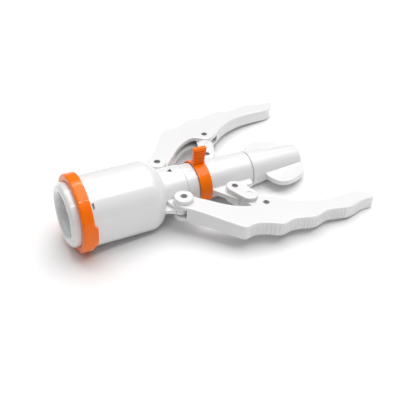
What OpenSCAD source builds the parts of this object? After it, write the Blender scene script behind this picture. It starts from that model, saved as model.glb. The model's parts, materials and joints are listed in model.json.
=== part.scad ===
// Circular stapler with a bell mouth, squeeze handles, a lift-off safety clip and a winged knob.
// X runs along the instrument from the bell mouth (0) back to the knob, Z is up,
// and the two handles open in the XY plane.

/* [Bell] */
// Outer diameter of the bell
bell_d = 39.2; // [34:0.1:42]
// Width of the rounded lip round the open mouth
lip_w = 6.2; // [5.4:0.1:7]
// Length from the mouth's lip to the rear rim
bell_len = 11.4; // [10:0.1:13]
// Thickness of the floor behind the mouth
bell_floor_t = 2.8; // [2.4:0.1:3.6]
// Width over the corners of the nut that holds the bell
bell_nut_d = 8.4; // [7:0.1:11]
// Thickness of the staple-forming ring in the bell's rear face
anvil_t = 1.5; // [1.2:0.1:1.8]
// Distance that the knob can drive the bell out
bell_travel = 13; // [6:0.5:14]

/* [Front ring] */
// How far the coloured ring stands out beyond the body
ring_step = 2; // [1:0.1:4]
// Distance from the bell's lip back to the ring
ring_setback = 5; // [4:0.1:7]
// Width of the ring
ring_w = 7; // [6:0.1:8]
// Rounding of the ring's outer front edge
ring_edge_r = 1.3; // [0.5:0.1:1.6]
// How far the ring's tab reaches back over the body
tab_reach = 1.7; // [1:0.1:3]
// Angle that the tab takes up round the body
tab_angle = 37; // [20:1:60]
// Angle from the top round to the middle of the tab
tab_place = 98; // [80:1:130]

/* [Housing] */
// How far the body stands out beyond the bell
body_step = 2.4; // [2:0.1:3.4]
// Length of the body behind the ring
body_len = 47.9; // [46:0.1:60]
// Thickness of the body's wall
body_wall = 2.6; // [2:0.1:3]
// Radius of the rounded shoulder
shoulder_r = 10; // [7:0.1:12]
// Thickness of the neck's wall
neck_wall = 1.93; // [1.6:0.01:2.4]
// Length of the neck behind the shoulder
neck_len = 15.7; // [15:0.1:18]
// Width of each snap window round the body
window_w = 3.4; // [2:0.1:6]
// Length of each snap window
window_len = 1.2; // [0.8:0.1:2]
// Number of snap windows
window_count = 4; // [2:1:6]
// Angle from the top round to the first snap window
window_place = 48; // [30:1:70]
// Length of the arrow on the neck
arrow_len = 3.2; // [2:0.1:4]

/* [Pivot brackets] */
// Distance from the shoulder's end back to the handle pivots
pivot_setback = 8.7; // [8.2:0.1:9.4]
// Distance of each handle pivot from the centre line
pivot_y = 19.6; // [19:0.1:24]
// Radius of the bracket's eye round the pin
knuckle_r = 5.2; // [4:0.1:5.6]
// Thickness of the bracket
bracket_t = 5.2; // [4:0.1:5.8]
// Diameter of the pivot pins
pivot_pin_d = 4; // [3:0.1:4.4]

/* [Handles] */
// Distance from the pivot to the handle's tip, along the instrument
handle_reach = 108.8; // [100:0.1:120]
// Thickness of a handle at its front
handle_t = 10; // [9.4:0.1:12]
// How much thinner a handle is at its tip
handle_thinning = 1.8; // [0:0.1:2.5]
// Radius of the round boss over the pivot
boss_r = 5.8; // [5:0.1:6.2]
// Height of the boss above the handle
boss_h = 2.8; // [1:0.1:4]
// Height of the smaller boss under the handle
under_boss_h = 1.8; // [1:0.1:3]
// Share of the handle's reach from the pivot back to the link's pin
pin_back_share = 0.4081; // [0.4:0.001:0.415]
// Share of the handle's reach from the pivot outwards to the link's pin
pin_out_share = 0.1967; // [0.195:0.001:0.203]
// Diameter of the pins between handles and links
link_pin_d = 3.8; // [3:0.1:4]
// Height of the slot that takes the link
link_slot_h = 4.6; // [4:0.1:5]
// Number of grip ribs down the outer side of a handle
grip_count = 30; // [20:1:32]
// Distance between neighbouring grip ribs
grip_pitch = 2.1; // [1.9:0.05:2.2]
// Radius of each grip rib
grip_r = 0.8; // [0.6:0.05:0.9]

/* [Links] */
// Radius of the link's round plate ends
link_r = 5.3; // [4.6:0.1:5.4]
// Distance from the handle's pin back to the plate's round end
link_neck_len = 12.5; // [12.3:0.1:13]
// Height of the whole link
link_h = 10; // [9:0.1:11]
// Height of the tongue that enters the handle
tongue_h = 4; // [3.4:0.1:4.2]
// Play of the handle's pin in the tongue, on the radius
open_pivot_play = 1.15; // [1:0.05:1.4]

/* [Slider] */
// Travel of the slider when the handles are squeezed
stroke = 7.7; // [5:0.1:7.7]
// Thickness of the sleeve's wall at its front
sleeve_wall = 1.72; // [1.6:0.01:2]
// How much thinner the sleeve's wall is at its rear
sleeve_thinning = 0.7; // [0:0.05:0.8]
// Length of the sleeve
sleeve_len = 30.4; // [26:0.1:30.4]
// Distance from the sleeve's front back to the link pins
slider_pin_setback = 12.4; // [12:0.1:13]
// Distance of each link pin from the centre line
slider_pin_y = 19; // [18.8:0.1:19.6]
// Thickness of the fins that carry the link pins
fin_t = 3.2; // [2.4:0.1:3.4]
// Reach of each fin outwards from its pin
fin_r = 9.8; // [8:0.1:9.8]

/* [Guide and push tubes] */
// How far the fixed collar behind the neck stands out beyond the guide tube
collar_step = 2.1; // [1.9:0.1:2.4]
// Length of the collar
collar_len = 7.8; // [7.8:0.1:8.4]
// Thickness of the guide tube's wall under the sleeve
guide_wall = 1.72; // [1.5:0.01:2]
// Diameter of the push tube inside the guide tube
push_d = 18; // [17:0.1:18.6]
// Thickness of the push tube's wall
push_wall = 2.8; // [2:0.1:3]
// Diameter of the drive keys that join push tube and sleeve
key_d = 3; // [2:0.1:3.4]

/* [Safety clip] */
// Thickness of the clip's band
clip_t = 0.9; // [0.7:0.1:1.5]
// How far the clip's legs reach below the centre line
clip_leg = 4.6; // [3:0.1:8]
// Height of the thumb tab above the band
tab_h = 11.2; // [8:0.1:16]
// Thickness of the thumb tab
thumb_t = 3; // [2:0.1:4]
// Number of ribs on the thumb tab
thumb_ribs = 6; // [3:1:7]

/* [Knob] */
// How much smaller the knob's radius is at its rear
knob_taper = 2.95; // [2:0.05:3.5]
// Length of the knob
knob_len = 38.5; // [38:0.1:44]
// Rounding of the knob's rear edge
knob_edge_r = 2.6; // [1:0.1:4]
// Width over both wings
wing_span = 48.2; // [40:0.1:50]
// Thickness of the wings
wing_t = 3.6; // [2:0.1:4]

/* [Draw rod] */
// Diameter of the draw rod
rod_d = 5; // [4:0.1:5.4]
// Diameter over the rod's thread
thread_d = 7.1; // [6.4:0.1:7.4]
// Pitch of the rod's thread
thread_pitch = 4; // [2:0.5:5]
// Diameter of the cross pin that keeps the rod from turning
rod_key_d = 1.6; // [1.2:0.1:2]

/* [Cartridge] */
// Length of the staple cartridge
cartridge_len = 15.3; // [14:0.1:16]
// Gap between bell and cartridge with the knob closed
closed_gap = 0.8; // [0.5:0.1:1]
// Number of staples in each of the two rows
staple_count = 16; // [12:1:16]
// Width of a staple's crown
staple_w = 3.4; // [3:0.1:3.6]
// Length of a staple's legs
staple_leg = 3.8; // [3:0.1:4.5]
// Thickness of the staple wire
staple_wire = 0.35; // [0.25:0.05:0.4]
// Distance from the mouth's edge inwards to the ring blade
blade_inset = 1.5; // [1.4:0.1:1.6]
// Thickness of the ring blade
blade_t = 0.35; // [0.3:0.05:0.4]

/* [Return spring] */
// Wire diameter of the return spring
spring_wire = 1.2; // [0.8:0.1:1.4]
// Number of turns of the return spring
spring_turns = 8; // [6:1:10]

/* [Hidden] */
$fn = 96;
// Clearance of a sliding or turning fit, on the radius
fit = 0.08;
// Clearance of pins in fixed holes, on the radius
pin_fit = 0.03;
// Gap between pieces that move past each other
gap = 0.3;
// Overrun of every cut
cut = 1;

bell_r = bell_d / 2;
lip_r = lip_w / 2;
mouth_r = bell_r - lip_w;
bell_bore_r = bell_r + gap + fit;
bell_floor_x = bell_len - bell_floor_t;

ring_x0 = ring_setback;
ring_x1 = ring_setback + ring_w;
spigot_len = ring_w * 0.5;
spigot_r = bell_bore_r + body_wall / 2;

body_r = bell_r + body_step;
body_x1 = ring_x1 + body_len;
ring_r = body_r + ring_step;
cavity_r = body_r - body_wall;
push_r = push_d / 2;
push_bore_r = push_r - push_wall;
guide_bore_r = push_r + fit;
guide_r = guide_bore_r + guide_wall;
neck_bore_r = guide_r + body_wall / 3;
neck_r = neck_bore_r + neck_wall;
neck_x1 = body_x1 + neck_len;
shoulder_turn = acos((neck_r - (body_r - shoulder_r)) / shoulder_r);

pivot_x = body_x1 + pivot_setback;
handle_pin_dx = pin_back_share * handle_reach;
handle_pin_dy = pin_out_share * handle_reach;
handle_pin_x = pivot_x + handle_pin_dx;
handle_pin_y = pivot_y + handle_pin_dy;
pin_recess = boss_h / 8;

collar_r = guide_r + collar_step;
collar_x1 = neck_x1 + collar_len;

sleeve_x0 = collar_x1 + stroke + gap / 2;
sleeve_x1 = sleeve_x0 + sleeve_len;
sleeve_bore_r = guide_r + fit;
sleeve_r = sleeve_bore_r + sleeve_wall;
sleeve_rear_r = sleeve_r - sleeve_thinning;
slider_pin_x = sleeve_x0 + slider_pin_setback;

link_dx = handle_pin_x - slider_pin_x;
link_dy = handle_pin_y - slider_pin_y;
link_len = sqrt(link_dx * link_dx + link_dy * link_dy);
link_angle = atan2(link_dy, link_dx);
link_plate_len = link_len - link_neck_len;
tongue_hole_r = link_pin_d / 2 + open_pivot_play;
tongue_r = tongue_hole_r + link_pin_d * 0.55;

guide_x1 = sleeve_x1 + gap / 2;
knob_x0 = guide_x1 + gap;
knob_x1 = knob_x0 + knob_len;
knob_r = sleeve_rear_r + gap / 6;
knob_rear_r = knob_r - knob_taper;

clip_r = collar_r + gap;
clip_w = stroke + gap / 2 - gap / 3;
clip_x0 = sleeve_x0 - clip_w - gap / 6;

cartridge_x0 = bell_len + closed_gap;
cartridge_x1 = cartridge_x0 + cartridge_len;
cartridge_r = cavity_r - fit;
blade_r = mouth_r - blade_inset;
cartridge_bore_r = blade_r + 3 * gap;
staple_x0 = cartridge_x0 + 3 * gap;
staple_x1 = staple_x0 + staple_leg + staple_wire;
slot_w = staple_w + gap;
slot_t = staple_wire + 3 * gap;
row_step = (cartridge_r - cartridge_bore_r) / 3;
row_in_r = cartridge_bore_r + row_step - slot_t / 4;
row_out_r = cartridge_r - row_step + slot_t / 2;

driver_x0 = staple_x1 + stroke + gap;
pusher_t = body_wall;
pusher_x0 = cartridge_x1 + stroke + 2 * gap;
pusher_x1 = pusher_x0 + pusher_t;
pusher_r = cartridge_r - 2 * gap;
blade_x0 = bell_len + stroke - anvil_t / 2;
holder_r = blade_r - blade_t - fit / 2;

push_flange_t = pusher_t;
push_x1 = sleeve_x0 + slider_pin_setback;
key_x = push_x1 - 2 * key_d;
bulkhead_x0 = pusher_x1 + push_flange_t + gap;
bulkhead_t = body_wall;
bulkhead_x1 = bulkhead_x0 + bulkhead_t;
guide_spigot_len = collar_len * 0.6;
push_collar_t = body_wall;
push_collar_x1 = neck_x1 - guide_spigot_len - gap;
push_collar_x0 = push_collar_x1 - push_collar_t;
push_collar_r = neck_bore_r - gap;

core_r = push_bore_r - 2 * gap;
rod_r = rod_d / 2;
core_bore_r = rod_r + fit;
core_x0 = bell_len + 2 * closed_gap;
bearing_x0 = push_x1 + 2 * gap;
core_x1 = bearing_x0 + body_wall;
bearing_spigot_r = push_r - body_wall / 1.8;
bearing_x1 = knob_x0 + 2 * body_wall;
thread_r = thread_d / 2;
rod_key_len = 2 * core_r - gap;
rod_key_x = core_x1 + bell_travel + rod_key_d;
thread_x0 = bearing_x1 + bell_travel / 3;
thread_x1 = knob_x1 - body_wall - gap;
retainer_x0 = knob_x0 + body_wall / 1.6;
retainer_t = body_wall / 2.2;
nut_x0 = thread_x0 + gap;
nut_len = thread_d * 1.6;
nut_r = thread_d * 0.92;
bell_nut_t = bell_floor_t / 1.8;
bell_nut_r = bell_nut_d / 2;
rod_x0 = bell_floor_x + gap / 3;

spring_r = (push_r + neck_bore_r) / 2;
spring_x0 = bulkhead_x1 + spring_wire / 2;
spring_x1 = push_collar_x0 - spring_wire / 2;

// Inner side of a handle, counted from its pivot, as hundredths of handle_reach
handle_inner_shares = [
  [-5.6, -1], [-4, -4], [0, -5.4], [4.2, -4.3], [8.4, 1], [13.2, 5.6], [16.4, 9.1],
  [20.6, 12.9], [25.2, 16], [28.9, 17.9], [32.6, 18.5], [35.8, 16.6], [38.6, 14.4],
  [42.2, 14.1], [45.4, 15.8], [49.4, 18.8], [54, 22.4], [58.6, 25.2], [63.4, 27.3],
  [69.4, 29.1], [75.3, 30], [82.2, 30.3], [89.4, 30.2], [93.3, 30.4], [96.2, 31.8],
  [98.4, 34.2]];
// Tip and outer side of a handle, in the same shares, from the front to the tip
handle_outer_shares = [
  [-4.2, 4.8], [-0.2, 8.8], [3.6, 13.2], [8.6, 19.7], [13.2, 26.1], [18.8, 33],
  [21.2, 34.3], [24.7, 33.6], [28.4, 33.8], [33.1, 35.7], [37.1, 38.2], [40.3, 39.4],
  [43.6, 38.9], [47.3, 38.3], [53.2, 39.5], [58.5, 41.1], [62, 40.8], [66.1, 39.6],
  [69.8, 39.2], [75.8, 40.5], [81.2, 41.7], [86, 41], [90, 39.9], [94.2, 39.4],
  [98.8, 39.7], [100, 37.4]];
// Outline of the slot in a handle's inner side, in the same shares
slot_outline_shares = [
  [14.2, 4.6], [17.2, 14.4], [22, 22], [31, 27], [40, 28.2], [46.5, 26.4], [49.4, 21],
  [50.4, 13], [40, 8], [26, 6]];
// Front outline of a wing: share of the knob's length, then share of half the span
wing_outline_shares = [
  [0.21, 0.3], [0.235, 0.6], [0.28, 0.81], [0.36, 0.95], [0.49, 1], [0.65, 0.955],
  [0.81, 0.84], [0.92, 0.66], [0.985, 0.45], [0.99, 0.25]];

// Points of an arc, as [radius, length along X]
function arc(cr, cx, r, a0, a1, n) =
  [for (i = [0:n]) let (a = a0 + (a1 - a0) * i / n) [cr + r * cos(a), cx + r * sin(a)]];

// One point of a smooth curve between b and c
function smooth(a, b, c, d, t) =
  0.5 * (2 * b + (c - a) * t + (2 * a - 5 * b + 4 * c - d) * t * t
  + (3 * b - a - 3 * c + d) * t * t * t);

// Smooth closed curve through points p, with n steps between neighbours
function closed_curve(p, n) = let (m = len(p))
  [for (i = [0:m - 1], k = [0:n - 1])
    smooth(p[(i + m - 1) % m], p[i], p[(i + 1) % m], p[(i + 2) % m], k / n)];

// Smooth open curve through points p, with n steps between neighbours
function open_curve(p, n) = let (m = len(p) - 1) concat(
  [for (i = [0:m - 1], k = [0:n - 1])
    smooth(p[max(i - 1, 0)], p[i], p[i + 1], p[min(i + 2, m)], k / n)], [p[m]]);

handle_back_shares = [for (i = [len(handle_outer_shares) - 1:-1:0]) handle_outer_shares[i]];
handle_outline = closed_curve(
  concat(handle_inner_shares, handle_back_shares) * handle_reach / 100, 3);
handle_outer_line = open_curve(handle_outer_shares * handle_reach / 100, 6);
slot_outline = slot_outline_shares * handle_reach / 100;
wing_outline = open_curve(
  [for (s = wing_outline_shares) [knob_x0 + s[0] * knob_len, s[1] * wing_span / 2]], 4);

// Solid of revolution about X from points [radius, x]
module turned(points) {
  rotate([0, 90, 0]) rotate_extrude() polygon(points);
}

// Cylinder along X from x0 to x1
module rod_x(x0, x1, r) {
  translate([x0, 0, 0]) rotate([0, 90, 0]) cylinder(h = x1 - x0, r = r);
}

// Tube along X
module tube_x(x0, x1, r, bore) {
  difference() {
    rod_x(x0, x1, r);
    rod_x(x0 - cut, x1 + cut, bore);
  }
}

// Cylinder along Z, centred on its height
module post(x, y, h, r) {
  translate([x, y, -h / 2]) cylinder(h = h, r = r);
}

// Flat plate from an outline, centred on z = 0
module plate(points, h) {
  translate([0, 0, -h / 2]) linear_extrude(h) polygon(points);
}

// Places its children on the far side as modelled, or mirrored to the near side
module on_side(side) {
  if (side > 0) children();
  else mirror([0, 1, 0]) children();
}

// One block for every staple place in both rows
module staple_places() {
  for (i = [0:staple_count - 1]) {
    rotate([i * 360 / staple_count, 0, 0]) translate([0, 0, row_in_r]) children();
    rotate([(i + 0.5) * 360 / staple_count, 0, 0]) translate([0, 0, row_out_r]) children();
  }
}

// Block of width w and thickness t, from x0 to x1 along X
module block(x0, x1, w, t) {
  translate([x0, -w / 2, -t / 2]) cube([x1 - x0, w, t]);
}

module bell() color("white") {
  pocket_x = bell_len - anvil_t - gap / 6;
  pocket_r = bell_r - lip_r / 5;
  washer_r = mouth_r - lip_r;
  difference() {
    turned(concat(
      arc(bell_r - lip_r, lip_r, lip_r, 180, 360, 24),
      [[bell_r, bell_len], [pocket_r, bell_len], [pocket_r, pocket_x], [washer_r, pocket_x],
       [washer_r, bell_len], [0, bell_len], [0, bell_floor_x], [mouth_r, bell_floor_x]]));
    rod_x(bell_floor_x - cut, bell_floor_x + bell_nut_t, bell_nut_r + fit);
    rod_x(bell_floor_x, bell_len + cut, rod_r + pin_fit);
  }
}

module anvil_ring() color("silver") {
  x0 = bell_len - anvil_t;
  groove_w = staple_w + gap / 3;
  difference() {
    tube_x(x0, bell_len, bell_r - lip_r / 5 - fit, mouth_r - gap / 2);
    staple_places() block(bell_len - anvil_t / 3, bell_len + cut, groove_w, slot_t * 0.7);
  }
}

module cutting_washer() color("ivory") {
  x0 = bell_len - anvil_t;
  difference() {
    tube_x(x0, bell_len, mouth_r - gap, mouth_r - lip_r + fit);
    tube_x(bell_len - anvil_t / 1.5, bell_len + cut, blade_r + gap, blade_r - blade_t - gap);
  }
}

module bell_nut() color("silver") {
  difference() {
    translate([bell_floor_x, 0, 0]) rotate([0, 90, 0]) cylinder(h = bell_nut_t, r = bell_nut_r, $fn = 6);
    rod_x(bell_floor_x - cut, bell_floor_x + bell_nut_t + cut, rod_r + pin_fit);
  }
}

module draw_rod() color("silver") {
  crest_t = thread_pitch / 4;
  root_r = thread_r - thread_pitch / 6;
  turns = floor((thread_x1 - thread_x0) / (thread_pitch / 2));
  difference() {
    union() {
      rod_x(rod_x0, thread_x0 + crest_t / 2, rod_r);
      rod_x(thread_x0, thread_x1, root_r);
      for (i = [0:turns - 1])
        rod_x(thread_x0 + i * thread_pitch / 2, thread_x0 + i * thread_pitch / 2 + crest_t, thread_r);
    }
    post(rod_key_x, 0, 2 * rod_d, rod_key_d / 2 + pin_fit);
  }
}

module rod_key() color("dimgray") {
  post(rod_key_x, 0, rod_key_len, rod_key_d / 2);
}

module front_ring() color("darkorange") {
  seat_x = ring_x1 - spigot_len;
  union() {
    turned(concat(
      [[bell_bore_r, seat_x - fit], [bell_bore_r, ring_x0]],
      arc(ring_r - ring_edge_r, ring_x0 + ring_edge_r, ring_edge_r, -90, 0, 8),
      [[ring_r, ring_x1], [spigot_r + fit, ring_x1], [spigot_r + fit, seat_x - fit]]));
    rotate([tab_place - 180, 0, 0]) rotate([0, 90, 0]) translate([0, 0, ring_x1 - tab_reach])
      rotate([0, 0, -tab_angle / 2]) rotate_extrude(angle = tab_angle)
        translate([body_r + fit, 0]) square([ring_r - body_r - fit, 2 * tab_reach]);
  }
}

// Plan of the bracket plate on the far side
function bracket_plan() = [
  [body_x1 - shoulder_r / 2, neck_r / 2], [pivot_x - knuckle_r * 1.5, neck_r],
  [pivot_x - knuckle_r * 1.25, pivot_y], [pivot_x - knuckle_r * 0.7, pivot_y + knuckle_r * 0.71],
  [pivot_x, pivot_y], [pivot_x + knuckle_r * 0.94, pivot_y - knuckle_r / 3],
  [pivot_x + knuckle_r * 0.68, neck_r * 0.9], [pivot_x + knuckle_r * 0.68, neck_r / 2]];

// Plan of the shelf under the bracket's front edge
function shelf_plan() = [
  [body_x1 - shoulder_r / 2, neck_r / 2], [body_x1 - shoulder_r * 0.3, pivot_y - knuckle_r * 0.1],
  [pivot_x - knuckle_r * 1.05, pivot_y + knuckle_r * 0.4], [pivot_x, pivot_y], [pivot_x, neck_r / 2]];

module housing() color("white") {
  seat_x = ring_x1 - spigot_len;
  ledge_r = cavity_r - gap;
  inner_turn_r = ledge_r - (body_r - shoulder_r);
  inner_turn = acos((neck_r - (body_r - shoulder_r)) / inner_turn_r);
  difference() {
    union() {
      turned(concat(
        [[bell_bore_r, seat_x], [spigot_r, seat_x], [spigot_r, ring_x1], [body_r, ring_x1]],
        arc(body_r - shoulder_r, body_x1 - shoulder_r, shoulder_r, 0, shoulder_turn, 16),
        [[neck_r, neck_x1], [neck_bore_r, neck_x1], [neck_bore_r, bulkhead_x1],
         [push_r + fit, bulkhead_x1], [push_r + fit, bulkhead_x0], [neck_r, bulkhead_x0]],
        arc(body_r - shoulder_r, body_x1 - shoulder_r, inner_turn_r, inner_turn, 0, 12),
        [[ledge_r, cartridge_x1 + fit], [cavity_r, cartridge_x1 + fit], [cavity_r, ring_x1],
         [bell_bore_r, ring_x1]]));
      for (side = [-1, 1]) on_side(side) difference() {
        union() {
          plate(bracket_plan(), bracket_t);
          translate([0, 0, -bracket_t / 4]) plate(shelf_plan(), bracket_t / 2);
          post(pivot_x, pivot_y, bracket_t, knuckle_r);
        }
        post(pivot_x, pivot_y, bracket_t + cut, pivot_pin_d / 2 + pin_fit);
        rod_x(ring_x1, neck_x1 + cut, neck_r - body_wall / 3);
      }
    }
    for (i = [0:window_count - 1])
      rotate([window_place + i * 360 / window_count, 0, 0])
        translate([ring_x1 + window_len, -window_w / 2, cavity_r - cut])
          cube([window_len, window_w, body_wall + 2 * cut]);
    arrow(arrow_len, arrow_len);
  }
}

// Arrow on top of the neck that points to the front, of height h
module arrow(size, h) {
  translate([pivot_x - arrow_len / 3, 0, neck_r - arrow_len / 8]) linear_extrude(h)
    polygon([[-size / 2, 0], [size / 2, size / 2], [size / 2, -size / 2]]);
}

module index_mark() color("dimgray") arrow(arrow_len - fit, arrow_len / 9);

module staple_cartridge() color("whitesmoke") {
  difference() {
    tube_x(cartridge_x0, cartridge_x1, cartridge_r, cartridge_bore_r);
    staple_places() block(cartridge_x0 - cut, cartridge_x1 + cut, slot_w, slot_t);
  }
}

module staples() color("silver") {
  staple_places() {
    block(staple_x1 - staple_wire, staple_x1, staple_w, staple_wire);
    for (s = [-1, 1]) translate([0, s * (staple_w - staple_wire) / 2, 0])
      block(staple_x0, staple_x1 - staple_wire / 2, staple_wire, staple_wire);
  }
}

module staple_pusher() color("lightgray") {
  union() {
    tube_x(pusher_x0, pusher_x1, pusher_r, blade_r + gap);
    staple_places() block(driver_x0, pusher_x0 + pusher_t / 2, staple_w - gap, slot_t - 2 * gap);
  }
}

module blade_holder() color("lightgray") {
  bore = core_r + 4 * gap;
  union() {
    tube_x(pusher_x0 - 4 * pusher_t, pusher_x1, holder_r, bore);
    tube_x(pusher_x0, pusher_x1, blade_r, bore);
  }
}

module ring_blade() color("silver") {
  edge = blade_t * 3;
  turned([
    [blade_r - blade_t, pusher_x0], [blade_r, pusher_x0], [blade_r, blade_x0 + edge],
    [blade_r - blade_t, blade_x0]]);
}

module push_tube() color("lightgray") {
  difference() {
    union() {
      rod_x(pusher_x1, pusher_x1 + push_flange_t, pusher_r);
      rod_x(pusher_x1, push_x1, push_r);
      rod_x(push_collar_x0, push_collar_x1, push_collar_r);
    }
    rod_x(pusher_x1 - cut, push_x1 + cut, push_bore_r);
    post(key_x, 0, 2 * push_d, key_d / 2 + pin_fit);
  }
}

module drive_keys() color("silver") {
  for (s = [-1, 1]) translate([key_x, 0, 0]) rotate([s > 0 ? 0 : 180, 0, 0])
    translate([0, 0, push_bore_r + gap])
      cylinder(h = sleeve_rear_r - push_bore_r - 2 * gap, r = key_d / 2);
}

module return_spring() color("silver") {
  sides = 6;
  steps = 8 * spring_turns;
  wire_r = spring_wire / 2;
  lift = (spring_x1 - spring_x0) / steps;
  centres = [for (i = [0:steps]) let (a = i * 360 / 8)
    [spring_x0 + lift * i, spring_r * sin(a), spring_r * cos(a)]];
  pts = [for (i = [0:steps], k = [0:sides - 1]) let (a = i * 360 / 8, b = k * 360 / sides)
    centres[i] + wire_r * [sin(b), cos(b) * sin(a), cos(b) * cos(a)]];
  walls = [for (i = [0:steps - 1], k = [0:sides - 1])
    let (p = i * sides + k, q = i * sides + (k + 1) % sides)
    each [[p, p + sides, q], [q, p + sides, q + sides]]];
  ends = [[for (k = [0:sides - 1]) k], [for (k = [sides - 1:-1:0]) steps * sides + k]];
  polyhedron(points = pts, faces = concat(walls, ends));
  echo(return_spring_gap = lift * 8 - spring_wire);
}

module guide_tube() color("white") {
  slot_len = stroke + key_d + 2 * gap;
  difference() {
    union() {
      rod_x(neck_x1 - guide_spigot_len, neck_x1 + gap + fit, neck_bore_r - pin_fit);
      rod_x(neck_x1 + gap, collar_x1, collar_r);
      rod_x(collar_x1 - fit, guide_x1, guide_r);
    }
    rod_x(neck_x1 - guide_spigot_len - cut, guide_x1 + cut, guide_bore_r);
    for (s = [0, 180]) rotate([s, 0, 0])
      translate([key_x - stroke - key_d / 2 - gap, -key_d / 2 - fit, guide_bore_r - cut])
        cube([slot_len, key_d + 2 * fit, guide_r]);
  }
}

module core_tube() color("silver") {
  tube_x(core_x0, core_x1, core_r, core_bore_r);
}

module knob_bearing() color("whitesmoke") {
  groove_r = bearing_spigot_r - body_wall / 4;
  slot_x1 = rod_key_x + rod_key_d;
  difference() {
    union() {
      rod_x(bearing_x0, guide_x1, push_r);
      rod_x(bearing_x0, bearing_x1, bearing_spigot_r);
    }
    rod_x(bearing_x0 - cut, core_x1 + fit, core_r + pin_fit);
    rod_x(core_x1, bearing_x1 + cut, thread_r + fit);
    translate([core_x1, -rod_key_d / 2 - fit, -rod_key_len / 2 - gap])
      cube([slot_x1 - core_x1, rod_key_d + 2 * fit, rod_key_len + 2 * gap]);
    tube_x(retainer_x0 - fit, retainer_x0 + retainer_t + fit, bearing_spigot_r + cut, groove_r);
  }
}

module retainer_ring() color("silver") {
  groove_r = bearing_spigot_r - body_wall / 4;
  opening = bearing_spigot_r;
  difference() {
    tube_x(retainer_x0, retainer_x0 + retainer_t, bearing_spigot_r + body_wall / 3, groove_r + pin_fit);
    translate([retainer_x0 - cut, -opening / 2, -2 * opening])
      cube([retainer_t + 2 * cut, opening, 2 * opening]);
  }
}

module knob() color("white") {
  taper = (knob_r - knob_rear_r) / (knob_len - knob_edge_r);
  socket_r = bearing_spigot_r + fit;
  lip = retainer_x0 - 2 * fit;
  difference() {
    union() {
      turned(concat(
        [[0, knob_x0], [knob_r, knob_x0]],
        arc(knob_rear_r - knob_edge_r, knob_x1 - knob_edge_r, knob_edge_r, 0, 90, 10),
        [[0, knob_x1]]));
      for (side = [-1, 1]) on_side(side)
        plate(concat(wing_outline, [[knob_x1 - knob_edge_r, 0], [wing_outline[0][0], 0]]), wing_t);
    }
    rod_x(knob_x0 - cut, bearing_x1 + gap, socket_r);
    rod_x(lip, bearing_x1 + gap, bearing_spigot_r + body_wall / 3 + gap);
    rod_x(bearing_x1, thread_x1 + gap, thread_r + gap);
    translate([nut_x0 - fit, 0, 0]) rotate([0, 90, 0])
      cylinder(h = nut_len + 2 * fit, r = nut_r + pin_fit, $fn = 6);
  }
}

module knob_nut() color("goldenrod") {
  difference() {
    translate([nut_x0, 0, 0]) rotate([0, 90, 0]) cylinder(h = nut_len, r = nut_r, $fn = 6);
    rod_x(nut_x0 - cut, nut_x0 + nut_len + cut, thread_r + fit);
  }
}

// Plan of a fin on the far side, counted from the link's pin
function fin_plan() = concat(
  [[sleeve_x0 - slider_pin_x + gap / 2, guide_r + fit - slider_pin_y],
   [sleeve_x0 - slider_pin_x + gap / 2, sleeve_r + fin_t / 3 - slider_pin_y]],
  [for (a = [100:-10:-10]) fin_r * [cos(a), sin(a)]],
  [[1.46 * fin_r, -0.2 * fin_r], [1.55 * fin_r, -0.72 * fin_r],
   [1.55 * fin_r, guide_r + fit - slider_pin_y]]);

module slider_sleeve() color("white") {
  difference() {
    union() {
      translate([sleeve_x0, 0, 0]) rotate([0, 90, 0])
        cylinder(h = sleeve_len, r1 = sleeve_r, r2 = sleeve_rear_r);
      for (side = [-1, 1]) on_side(side)
        translate([slider_pin_x, slider_pin_y, 0]) plate(fin_plan(), fin_t);
    }
    rod_x(sleeve_x0 - cut, sleeve_x1 + cut, sleeve_bore_r);
    post(key_x, 0, 2 * (sleeve_rear_r - gap), key_d / 2 + pin_fit);
    for (y = [-slider_pin_y, slider_pin_y]) post(slider_pin_x, y, 2 * sleeve_r, link_pin_d / 2 + pin_fit);
  }
}

module slider_pins() color("dimgray") {
  for (y = [-slider_pin_y, slider_pin_y]) post(slider_pin_x, y, link_h - 2 * pin_recess, link_pin_d / 2);
}

module link(side) color("white") {
  inner_gap = fin_t + 2 * gap;
  web_x0 = fin_r + 2 * gap;
  on_side(side) translate([slider_pin_x, slider_pin_y, 0]) rotate([0, 0, link_angle]) difference() {
    union() {
      post(0, 0, link_h, link_r);
      post(link_plate_len, 0, link_h, link_r);
      translate([0, -link_r, -link_h / 2]) cube([link_plate_len, 2 * link_r, link_h]);
      post(link_len, 0, tongue_h, tongue_r);
      translate([link_plate_len, -tongue_r, -tongue_h / 2])
        cube([link_len - link_plate_len, 2 * tongue_r, tongue_h]);
    }
    post(0, 0, inner_gap, web_x0);
    translate([-2 * link_r, -2 * link_r, -inner_gap / 2]) cube([2 * link_r, 4 * link_r, inner_gap]);
    post(0, 0, link_h + cut, link_pin_d / 2 + fit);
    post(link_len, 0, link_h, tongue_hole_r);
  }
}

module link_left() link(-1);

module link_right() link(1);

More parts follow.
